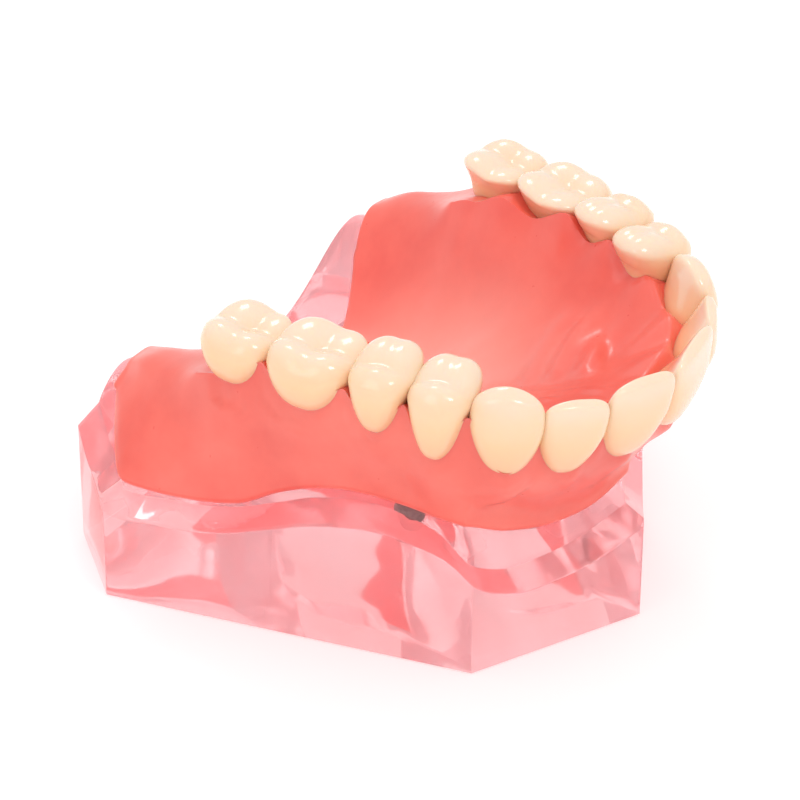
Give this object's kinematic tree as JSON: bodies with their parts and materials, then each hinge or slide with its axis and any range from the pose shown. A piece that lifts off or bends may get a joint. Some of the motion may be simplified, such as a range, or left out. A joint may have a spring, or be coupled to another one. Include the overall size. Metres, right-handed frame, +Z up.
{
  "type": "typodont model",
  "caption": "Clear jaw model with embedded implants and a lift-off coral full denture with ivory teeth, resting teeth upwards",
  "frame": {"origin": "middle of the base's trimmed outline, on its flat underside", "axes": "+Z up from the underside to the biting surfaces; -Y towards the front teeth; +X towards the side whose nodes are named right, the patient's right with the upper jaw turned teeth up"},
  "size_m": [0.07, 0.0626, 0.0363],
  "materials": {
    "clear_resin": "transparent pale pink cast resin, polished",
    "denture_acrylic": "glossy coral pink denture acrylic",
    "ivory_acrylic": "glossy ivory tooth resin, warmer at the neck and paler at the biting edge",
    "titanium": "grit-blasted grey titanium",
    "steel": "turned and polished metal",
    "rubber": "black elastic ring"
  },
  "bodies": {
    "jaw": {"clear_jaw_base": "clear_resin", "implant_front_left": "titanium", "implant_front_right": "titanium", "implant_rear_left": "titanium", "implant_rear_right": "titanium", "ball_abutment_front_left": "steel", "ball_abutment_front_right": "steel", "ball_abutment_rear_left": "steel", "ball_abutment_rear_right": "steel"},
    "denture": {"denture_base": "denture_acrylic", "tooth_central_incisor_left": "ivory_acrylic", "tooth_central_incisor_right": "ivory_acrylic", "tooth_lateral_incisor_left": "ivory_acrylic", "tooth_lateral_incisor_right": "ivory_acrylic", "tooth_canine_left": "ivory_acrylic", "tooth_canine_right": "ivory_acrylic", "tooth_premolar1_left": "ivory_acrylic", "tooth_premolar1_right": "ivory_acrylic", "tooth_premolar2_left": "ivory_acrylic", "tooth_premolar2_right": "ivory_acrylic", "tooth_molar1_left": "ivory_acrylic", "tooth_molar1_right": "ivory_acrylic", "tooth_molar2_left": "ivory_acrylic", "tooth_molar2_right": "ivory_acrylic", "housing_front_left": "steel", "housing_front_right": "steel", "housing_rear_left": "steel", "housing_rear_right": "steel", "retention_ring_front_left": "rubber", "retention_ring_front_right": "rubber", "retention_ring_rear_left": "rubber", "retention_ring_rear_right": "rubber"}
  },
  "joints": [
    {"name": "denture_lift", "type": "slide", "parent": "jaw", "child": "denture", "axis": [0, 0, 1], "range_m": [0, 0.03]}
  ]
}
